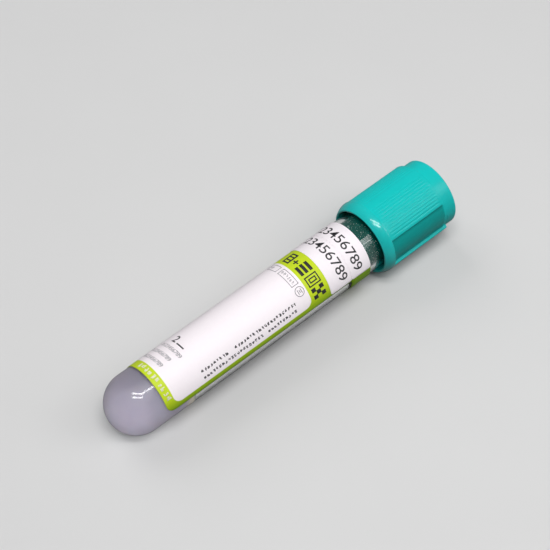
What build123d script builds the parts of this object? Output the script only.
from build123d import *
import math
import os

# A closed blood collection tube that lies on a bench. It rests on its round end and on the collar
# of its cap, so its axis leans up a little towards the cap. Stations along the axis, called u, are
# counted from the round tip. Angles round the axis start at the top and go towards -Y.

# ---- Driving dimensions: millimetres, and degrees round the axis ----
tube_diameter = 12.8
tube_length = 75.0
tube_wall = 1.0
tube_mouth_round = 0.3

gel_height = 15.5
gel_meniscus = 0.6
gel_gap = 0.01

label_setback = 2.8          # from the end of the round tip to the label
label_neck = 3.0             # bare glass between the label and the cap
label_thickness = 0.1
label_glue = 0.01
label_edge_angle = 86.6      # long edge of the label, seen from the front
label_window_angle = 100.0   # clear strip that the label leaves bare
label_band_length = 5.1      # closed band at the label's cap end
label_corner_radius = 2.0

sticker_thickness = 0.06
sticker_glue = 0.01
sticker_inset_angle = 2.5    # from the label's long edge to the stickers
sticker_arc = 190.0
sticker_upper_length = 5.1
sticker_lower_length = 5.5
sticker_gap = 0.1
sticker_corner_radius = 0.5

plug_depth = 13.8
plug_clearance = 0.03
plug_lead_in = 0.6
plug_cavity_diameter = 6.4
plug_cavity_depth = 6.0
plug_cavity_round = 1.2
flange_thickness = 4.0
flange_clearance = 0.05
flange_round = 0.4
neck_diameter = 9.1
neck_clearance = 0.05
neck_setback = 0.3           # top of the rubber below the face of the cap's shelf
needle_dish_diameter = 5.2
needle_dish_depth = 2.0

skirt_gap = 0.3              # from the glass to the cap's bore
skirt_length = 10.3
skirt_wall = 0.8
lip_flare = 0.5
lip_flare_length = 2.5
lip_wall = 0.4
lip_round = 0.15
shelf_thickness = 1.2
well_diameter = 11.4
well_depth = 4.8
rim_round = 0.25
rim_height = 3.5
recess_drop = 0.05           # the plain recesses between the grips lie a hair below the rim
collar_height = 2.5
collar_rise = 0.12
collar_edge = 0.1
bead_height = 0.18
bead_length = 0.8
bead_slope = 0.25

grip_count = 2
grip_rise = 0.63
grip_angle = 138.2           # width of a raised grip
grip_centre_angle = -6.4
grip_edge_round = 0.15
groove_count = 12            # in each of the two ribbed fields of a grip
groove_pitch_angle = 4.82
groove_field_offset = 35.0   # from the middle of a grip to the middle of a field
groove_depth = 0.14
groove_width = 0.36
groove_end_gap = 0.7         # plain surface past each end of the grooves

# ---- Sizes that follow ----
tube_radius = tube_diameter / 2
bore_radius = tube_radius - tube_wall
gel_radius = bore_radius - gel_gap

lip_station = tube_length - skirt_length
label_start = tube_radius + label_setback
label_end = lip_station - label_neck
label_radius = tube_radius + label_glue
label_outer_radius = label_radius + label_thickness
label_angle = 360 - label_window_angle
sticker_radius = label_outer_radius + sticker_glue

plug_radius = bore_radius - plug_clearance
plug_station = tube_length - plug_depth
cap_bore_radius = tube_radius + skirt_gap
flange_radius = cap_bore_radius - flange_clearance
shelf_station = tube_length + flange_thickness
shelf_top = shelf_station + shelf_thickness
cap_top = shelf_top + well_depth
neck_radius = neck_diameter / 2
neck_top = shelf_top - neck_setback

rim_radius = cap_bore_radius + skirt_wall
recess_radius = rim_radius - recess_drop
grip_radius = rim_radius + grip_rise
collar_radius = grip_radius + collar_rise
collar_top = lip_station + collar_height
grip_top = cap_top - rim_height
lip_radius = cap_bore_radius + lip_flare

# ---- Pose: the lowest points of the round tip and of the collar are both on the ground ----
collar_rest_station = collar_top - collar_edge
rest_span = collar_rest_station - tube_radius
rest_angle = math.acos(tube_radius / math.hypot(collar_radius, rest_span)) \
    - math.atan2(rest_span, collar_radius)
along_x = math.cos(rest_angle)
along_z = math.sin(rest_angle)
back_end = tube_radius * along_x - tube_radius
front_end = (cap_top - rim_round) * along_x + (rim_radius - rim_round) * along_z + rim_round
tip = Vector(-(back_end + front_end) / 2, 0, tube_radius - tube_radius * along_z)
tube_direction = Vector(along_x, 0, along_z)
tube_up = Vector(-along_z, 0, along_x)
tube_axis = Axis(tip, tube_direction)
profile_plane = Plane(origin=tip, x_dir=tube_direction, z_dir=(0, -1, 0))


def cross_plane(station):
    """Plane across the axis at a station: its x points up, its y points to -Y."""
    return Plane(origin=tip + tube_direction * station, x_dir=tube_up, z_dir=tube_direction)


def ring_sector(inner, outer, start_angle, angle):
    """Outline of a piece of a ring, from start_angle on through angle degrees."""
    low = CenterArc((0, 0), inner, start_angle, angle)
    high = CenterArc((0, 0), outer, start_angle, angle)
    Line(low @ 0, high @ 0)
    Line(low @ 1, high @ 1)


def cut_corner(station, angle, along, turn, radius):
    """Round the corner of a wrapped sheet. The sheet runs from the corner along the axis (along is 1 or -1)
    and round it (turn is 1 for growing angles, -1 for falling ones)."""
    turned = math.radians(angle)
    outward = tube_up * math.cos(turned) + Vector(0, -1, 0) * math.sin(turned)
    round_middle = radius * (1 - math.sqrt(0.5))
    corner_plane = Plane(origin=tip + tube_direction * station, x_dir=tube_direction, z_dir=outward)
    with BuildSketch(corner_plane) as corner:
        with BuildLine():
            ThreePointArc((0, -turn * radius), (along * round_middle, -turn * round_middle), (along * radius, 0))
            Polyline((along * radius, 0), (along * radius, turn * radius), (-along * radius, turn * radius),
                     (-along * radius, -turn * radius), (0, -turn * radius))
        make_face()
    extrude(corner.sketch, amount=sticker_radius * 2, mode=Mode.SUBTRACT)


def station_of(point):
    """How far along the axis a point lies."""
    return (point - tip).dot(tube_direction)


def radius_of(point):
    """How far from the axis a point lies."""
    offset = point - tip
    return (offset - tube_direction * offset.dot(tube_direction)).length


os.makedirs("parts", exist_ok=True)

# ---- Tube: one round-ended blow of clear plastic, open at its mouth ----
with BuildPart() as tube:
    with BuildSketch(profile_plane):
        with BuildLine():
            outer_end = CenterArc((tube_radius, 0), tube_radius, 90, 90)
            inner_end = CenterArc((tube_radius, 0), bore_radius, 90, 90)
            Line(outer_end @ 1, inner_end @ 1)
            Polyline(outer_end @ 0, (tube_length, tube_radius), (tube_length, bore_radius), inner_end @ 0)
        make_face()
    revolve(axis=tube_axis)
    fillet(tube.edges().group_by(tube_axis)[-1], tube_mouth_round)
tube.part.label = "tube"

# ---- Separation gel: fills the round end, with a dished face ----
with BuildPart() as separation_gel:
    with BuildSketch(profile_plane):
        with BuildLine():
            gel_end = CenterArc((tube_radius, 0), gel_radius, 90, 90)
            gel_face = TangentArc((gel_height, 0), (gel_height + gel_meniscus, gel_radius), tangent=(0, 1))
            Line(gel_end @ 0, gel_face @ 1)
            Line(gel_end @ 1, gel_face @ 0)
        make_face()
    revolve(axis=tube_axis)
separation_gel.part.label = "separation_gel"

# ---- Label: a wrap that leaves a clear window, closed to a band at the cap end ----
with BuildPart() as label:
    with BuildSketch(cross_plane(label_start)):
        with BuildLine():
            ring_sector(label_radius, label_outer_radius, label_edge_angle - label_angle, label_angle)
        make_face()
    extrude(amount=label_end - label_start)
    cut_corner(label_start, label_edge_angle, 1, -1, label_corner_radius)
    cut_corner(label_start, label_edge_angle - label_angle, 1, 1, label_corner_radius)
    with BuildSketch(cross_plane(label_end - label_band_length)):
        Circle(label_outer_radius)
        Circle(label_radius, mode=Mode.SUBTRACT)
    extrude(amount=label_band_length)
label.part.label = "label"


def make_sticker(name, start, length):
    """A peel-off code sticker on the label, with small round corners."""
    with BuildPart() as sticker:
        with BuildSketch(cross_plane(start)):
            with BuildLine():
                ring_sector(sticker_radius, sticker_radius + sticker_thickness,
                            label_edge_angle - sticker_inset_angle - sticker_arc, sticker_arc)
            make_face()
        extrude(amount=length)
        front_edge = label_edge_angle - sticker_inset_angle
        for station, along in ((start, 1), (start + length, -1)):
            cut_corner(station, front_edge, along, -1, sticker_corner_radius)
            cut_corner(station, front_edge - sticker_arc, along, 1, sticker_corner_radius)
    sticker.part.label = name
    return sticker


code_sticker_upper = make_sticker("code_sticker_upper", label_end - sticker_upper_length,
                                  sticker_upper_length)
code_sticker_lower = make_sticker("code_sticker_lower",
                                  label_end - sticker_upper_length - sticker_gap - sticker_lower_length,
                                  sticker_lower_length)

# ---- Rubber stopper: a hollow plug, a flange on the tube's mouth and a neck with a needle dish ----
with BuildPart() as rubber_stopper:
    with BuildSketch(profile_plane):
        with BuildLine():
            dish = TangentArc((neck_top - needle_dish_depth, 0), (neck_top, needle_dish_diameter / 2),
                              tangent=(0, 1))
            Polyline(dish @ 0,
                     (plug_station + plug_cavity_depth, 0),
                     (plug_station + plug_cavity_depth, plug_cavity_diameter / 2),
                     (plug_station, plug_cavity_diameter / 2),
                     (plug_station, plug_radius - plug_lead_in / 2),
                     (plug_station + plug_lead_in, plug_radius),
                     (tube_length, plug_radius),
                     (tube_length, flange_radius),
                     (shelf_station, flange_radius),
                     (shelf_station, neck_radius),
                     (neck_top, neck_radius),
                     dish @ 1)
        make_face()
    revolve(axis=tube_axis)
    cavity_floor = [edge for edge in rubber_stopper.edges().filter_by(GeomType.CIRCLE)
                    if abs(station_of(edge.arc_center) - plug_station - plug_cavity_depth) < plug_clearance]
    fillet(cavity_floor, plug_cavity_round)
    flange_edges = [edge for edge in rubber_stopper.edges().filter_by(GeomType.CIRCLE)
                    if abs(edge.radius - flange_radius) < plug_clearance]
    fillet(flange_edges, flange_round)
rubber_stopper.part.label = "rubber_stopper"

# ---- Cap shell: collar, skirt, shelf over the stopper, open well on top, ribbed grips outside ----
with BuildPart() as cap_shell:
    with BuildSketch(profile_plane):
        with BuildLine():
            collar_curve = TangentArc((collar_rest_station, collar_radius),
                                      (lip_station, lip_radius + lip_wall), tangent=(-1, 0))
            Polyline(collar_curve @ 1,
                     (lip_station, lip_radius),
                     (lip_station + lip_flare_length, cap_bore_radius),
                     (tube_length - bead_length - bead_slope, cap_bore_radius),
                     (tube_length - bead_length, cap_bore_radius - bead_height),
                     (tube_length - bead_slope, cap_bore_radius - bead_height),
                     (tube_length, cap_bore_radius),
                     (shelf_station, cap_bore_radius),
                     (shelf_station, neck_radius + neck_clearance),
                     (shelf_top, neck_radius + neck_clearance),
                     (shelf_top, well_diameter / 2),
                     (cap_top, well_diameter / 2),
                     (cap_top, rim_radius),
                     (grip_top, rim_radius),
                     (grip_top, recess_radius),
                     (collar_top, recess_radius),
                     (collar_top, collar_radius),
                     collar_curve @ 0)
        make_face()
    revolve(axis=tube_axis)
    fillet(cap_shell.edges().group_by(tube_axis)[-1], rim_round)
    fillet(cap_shell.edges().group_by(tube_axis)[0], lip_round)

    # The two raised grips stand on the collar and stop under the rim.
    for grip in range(grip_count):
        grip_start = grip_centre_angle - grip_angle / 2 + grip * 360 / grip_count
        with BuildSketch(cross_plane(collar_top)):
            with BuildLine():
                ring_sector(rim_radius - skirt_wall / 2, grip_radius, grip_start, grip_angle)
            make_face()
        extrude(amount=grip_top - collar_top)
    grip_corners = [edge for edge in cap_shell.edges()
                    if abs(radius_of(edge @ 0.5) - grip_radius) < grip_edge_round
                    and station_of(edge @ 0.5) > collar_top + grip_edge_round]
    fillet(grip_corners, grip_edge_round)

    # Fine grooves along the axis leave the ribs of each field.
    groove_round = (groove_width ** 2 / 4 + groove_depth ** 2) / (2 * groove_depth)
    groove_centre = grip_radius - groove_depth + groove_round
    field_angle = groove_pitch_angle * (groove_count - 1)
    with BuildSketch(cross_plane(collar_top + groove_end_gap)):
        for grip in range(grip_count):
            for side in (-1, 1):
                field_middle = grip_centre_angle + side * groove_field_offset + grip * 360 / grip_count
                for groove in range(groove_count):
                    angle = math.radians(field_middle - field_angle / 2 + groove * groove_pitch_angle)
                    with Locations((groove_centre * math.cos(angle), groove_centre * math.sin(angle))):
                        Circle(groove_round)
    extrude(amount=grip_top - collar_top - 2 * groove_end_gap, mode=Mode.SUBTRACT)
cap_shell.part.label = "cap_shell"

print("rests at", math.degrees(rest_angle), "degrees; tip at", tip)
for node in (tube, separation_gel, label, code_sticker_lower, code_sticker_upper,
             rubber_stopper, cap_shell):
    export_step(node.part, f"parts/{node.part.label}.step")
